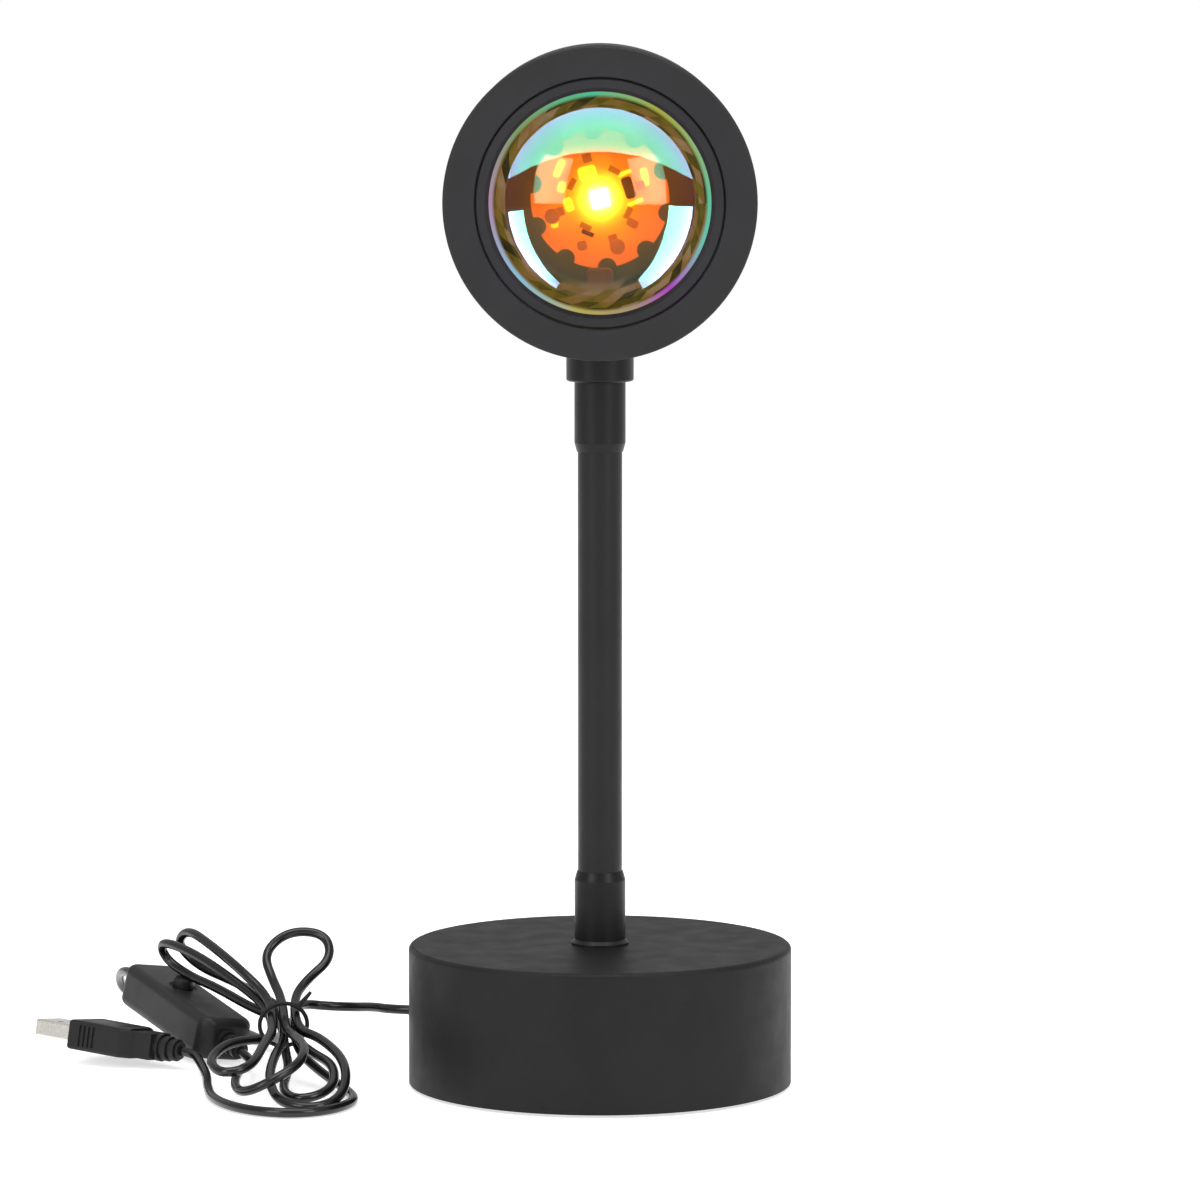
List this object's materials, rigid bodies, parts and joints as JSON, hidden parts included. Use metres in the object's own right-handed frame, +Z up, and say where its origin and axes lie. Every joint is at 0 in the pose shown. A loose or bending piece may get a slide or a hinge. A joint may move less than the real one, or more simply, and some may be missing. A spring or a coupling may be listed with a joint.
{
  "type": "sunset projection lamp",
  "caption": "Table lamp with a round projector head and domed lens on a bendable sleeved neck, a heavy round base, and a tied cord with inline push switch and plug.",
  "frame": {"origin": "centre of the base's underside, on the surface it stands on", "axes": "+Z up along the upright neck; the lens looks along -Y; +X is to the right as seen from behind the lens's face"},
  "size_m": [0.2012, 0.1562, 0.2712],
  "materials": {
    "black_paint": "fine matt black powder coat",
    "cast_iron": "as cast, oiled",
    "zinc_steel": "zinc-plated steel",
    "foam_pad": "closed-cell black foam",
    "black_rubber": "soft matt black",
    "sleeve": "smooth satin black sleeve",
    "black_metal": "satin black turned metal",
    "shell_aluminium": "die cast, fine matt black coat",
    "link_steel": "turned steel",
    "copper_wire": "insulated wire",
    "lens_glass": "polished clear glass",
    "dichroic_glass": "dichroic coated glass",
    "chamber_plastic": "matt moulded plastic",
    "board_white": "white solder mask on aluminium",
    "led": "yellow phosphor under clear resin",
    "components": "small moulded parts",
    "bare_aluminium": "extruded, bare",
    "cord_pvc": "satin black vinyl",
    "switch_plastic": "black moulded plastic, fine texture",
    "button_plastic": "black moulded plastic",
    "plug_steel": "nickel-plated steel",
    "plug_white": "white moulded plastic",
    "gilt": "gilt contact",
    "plug_rubber": "black overmoulding"
  },
  "bodies": {
    "base": {"base_plate": "zinc_steel", "base_screws": "zinc_steel", "base_shell": "black_paint", "cord_grommet": "black_rubber", "cord_hank": "cord_pvc", "cord_lead": "cord_pvc", "cord_return": "cord_pvc", "cord_tail": "cord_pvc", "cord_tie": "black_rubber", "counterweight": "cast_iron", "ferrule_lower": "black_metal", "foot_pad": "foam_pad", "neck_anchor": "link_steel", "neck_nut_lower": "zinc_steel", "neck_sleeve": "sleeve", "neck_washer": "zinc_steel", "neck_wires": "copper_wire", "plug_body": "plug_rubber", "plug_contacts": "gilt", "plug_relief": "plug_rubber", "plug_shell": "plug_steel", "plug_tongue": "plug_white", "switch_element": "components", "switch_lower": "switch_plastic", "switch_relief_far": "plug_rubber", "switch_relief_near": "plug_rubber", "switch_upper": "switch_plastic", "weight_screws": "zinc_steel"},
    "neck_1": {"neck_link_1": "link_steel"},
    "neck_2": {"neck_link_2": "link_steel"},
    "neck_3": {"neck_link_3": "link_steel"},
    "neck_4": {"neck_link_4": "link_steel"},
    "neck_5": {"neck_link_5": "link_steel"},
    "neck_6": {"neck_link_6": "link_steel"},
    "neck_7": {"neck_link_7": "link_steel"},
    "neck_8": {"neck_link_8": "link_steel"},
    "neck_9": {"neck_link_9": "link_steel"},
    "head": {"neck_tip": "link_steel", "ferrule_upper": "black_metal", "head_collar": "black_metal", "neck_nut_upper": "zinc_steel", "head_shell": "shell_aluminium", "lens_ring": "shell_aluminium", "lens": "lens_glass", "lens_gasket": "black_rubber", "light_chamber": "chamber_plastic", "dichroic_filter": "dichroic_glass", "led_board": "board_white", "led_chip": "led", "board_components": "components", "heatsink": "bare_aluminium", "rear_cover": "shell_aluminium", "heatsink_screws": "zinc_steel", "cover_screws": "zinc_steel"},
    "button": {"switch_button": "button_plastic"}
  },
  "joints": [
    {"name": "nod_1", "type": "hinge", "parent": "base", "child": "neck_1", "pos_m": [0, 0, 0.06178], "axis": [1, 0, 0], "range_deg": [-15, 15], "deforming": ["neck_sleeve", "neck_wires"]},
    {"name": "lean_1", "type": "hinge", "parent": "neck_1", "child": "neck_2", "pos_m": [0, 0, 0.07276], "axis": [0, 1, 0], "range_deg": [-15, 15]},
    {"name": "nod_2", "type": "hinge", "parent": "neck_2", "child": "neck_3", "pos_m": [0, 0, 0.08372], "axis": [1, 0, 0], "range_deg": [-15, 15]},
    {"name": "lean_2", "type": "hinge", "parent": "neck_3", "child": "neck_4", "pos_m": [0, 0, 0.0947], "axis": [0, 1, 0], "range_deg": [-15, 15]},
    {"name": "nod_3", "type": "hinge", "parent": "neck_4", "child": "neck_5", "pos_m": [0, 0, 0.10566], "axis": [1, 0, 0], "range_deg": [-15, 15]},
    {"name": "lean_3", "type": "hinge", "parent": "neck_5", "child": "neck_6", "pos_m": [0, 0, 0.11664], "axis": [0, 1, 0], "range_deg": [-15, 15]},
    {"name": "nod_4", "type": "hinge", "parent": "neck_6", "child": "neck_7", "pos_m": [0, 0, 0.1276], "axis": [1, 0, 0], "range_deg": [-15, 15]},
    {"name": "lean_4", "type": "hinge", "parent": "neck_7", "child": "neck_8", "pos_m": [0, 0, 0.13858], "axis": [0, 1, 0], "range_deg": [-15, 15]},
    {"name": "nod_5", "type": "hinge", "parent": "neck_8", "child": "neck_9", "pos_m": [0, 0, 0.14955], "axis": [1, 0, 0], "range_deg": [-15, 15]},
    {"name": "lean_5", "type": "hinge", "parent": "neck_9", "child": "head", "pos_m": [0, 0, 0.16051], "axis": [0, 1, 0], "range_deg": [-15, 15]},
    {"name": "button_press", "type": "slide", "parent": "base", "child": "button", "axis": [-0.2074, 0.0786, -0.9751], "range_m": [0, 0.0015], "stiffness_N_per_m": 1200, "springref_m": -0.001}
  ],
  "couplings": [
    {"joint": "nod_2", "follows": "nod_1", "ratio": 1},
    {"joint": "lean_2", "follows": "lean_1", "ratio": 1},
    {"joint": "nod_3", "follows": "nod_1", "ratio": 1},
    {"joint": "lean_3", "follows": "lean_1", "ratio": 1},
    {"joint": "nod_4", "follows": "nod_1", "ratio": 1},
    {"joint": "lean_4", "follows": "lean_1", "ratio": 1},
    {"joint": "nod_5", "follows": "nod_1", "ratio": 1},
    {"joint": "lean_5", "follows": "lean_1", "ratio": 1}
  ]
}
